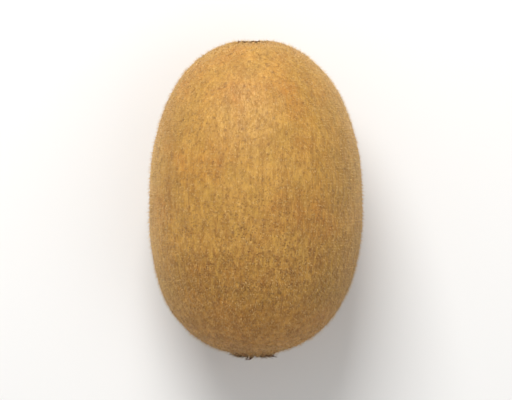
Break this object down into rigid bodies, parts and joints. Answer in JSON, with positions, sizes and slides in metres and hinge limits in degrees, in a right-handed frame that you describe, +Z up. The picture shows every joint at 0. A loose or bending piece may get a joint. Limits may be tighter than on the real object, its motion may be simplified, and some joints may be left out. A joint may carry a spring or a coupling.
{
  "type": "golden kiwi fruit",
  "caption": "Whole golden kiwi fruit lying on its side: oval brown-gold skin, a scarred stem end with dried sepals, and a blossom end with dried styles.",
  "frame": {"origin": "on the surface that the fruit rests on, under the middle of its box", "axes": "+Z up; +Y along the fruit's long axis to its stem end, and -Y to its blossom end; X across the fruit"},
  "size_m": [0.0506, 0.0758, 0.0477],
  "materials": {
    "skin": "satin golden-brown skin with fine speckles and short sparse fuzz",
    "stem_scar": "dry matte cork with a darker rim",
    "dried_flower": "dry dark-brown sepals and styles, matte and brittle"
  },
  "bodies": {
    "root": {"kiwi_fruit": "skin"}
  },
  "joints": []
}
